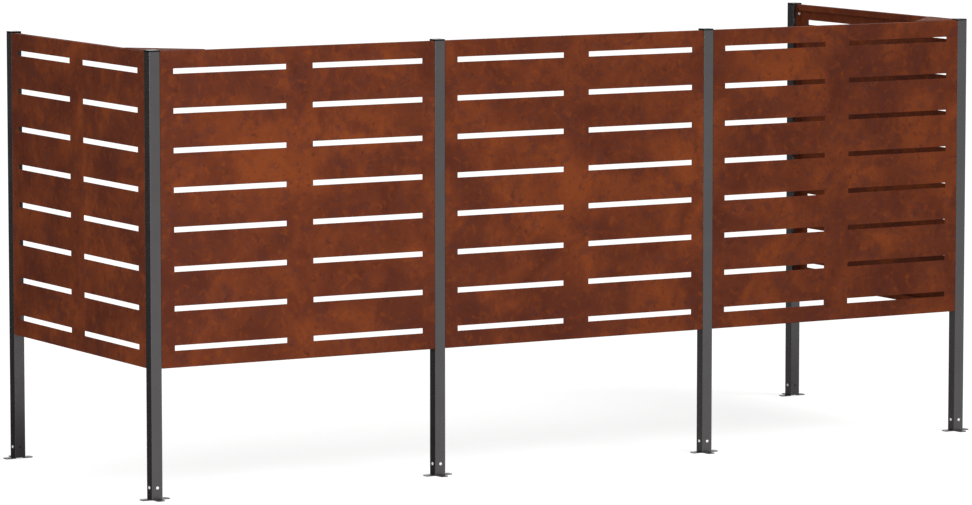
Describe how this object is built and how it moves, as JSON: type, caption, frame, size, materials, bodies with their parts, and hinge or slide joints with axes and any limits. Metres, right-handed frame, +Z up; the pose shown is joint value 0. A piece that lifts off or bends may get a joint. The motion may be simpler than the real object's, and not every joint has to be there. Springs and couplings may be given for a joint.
{
  "type": "bin screen",
  "caption": "Free-standing U-shaped screen that hides wheeled bins: slotted weathering-steel panels between square posts on bolt-down feet, open at the back.",
  "frame": {"origin": "on the ground, under the middle of the screen's outer box", "axes": "+X to the right along the front row, +Y from the front row to the open back, +Z up"},
  "size_m": [3.173, 1.123, 1.422],
  "materials": {
    "weathering_steel": "matt mottled rust patina",
    "powder_coat": "satin dark grey powder coat",
    "cap_plastic": "matt black",
    "plated_steel": "bright zinc plate"
  },
  "bodies": {
    "root": {"corner_left_post": "powder_coat", "corner_left_foot": "powder_coat", "corner_left_cap": "cap_plastic", "mid_left_post": "powder_coat", "mid_left_foot": "powder_coat", "mid_left_cap": "cap_plastic", "mid_right_post": "powder_coat", "mid_right_foot": "powder_coat", "mid_right_cap": "cap_plastic", "corner_right_post": "powder_coat", "corner_right_foot": "powder_coat", "corner_right_cap": "cap_plastic", "end_left_post": "powder_coat", "end_left_foot": "powder_coat", "end_left_cap": "cap_plastic", "end_right_post": "powder_coat", "end_right_foot": "powder_coat", "end_right_cap": "cap_plastic", "front_panel_left": "weathering_steel", "front_panel_middle": "weathering_steel", "front_panel_right": "weathering_steel", "side_panel_left": "weathering_steel", "side_panel_right": "weathering_steel", "corner_left_plate": "weathering_steel", "corner_right_plate": "weathering_steel", "panel_bolts": "plated_steel", "rivet_nuts": "plated_steel", "foot_bolts": "plated_steel"}
  },
  "joints": []
}
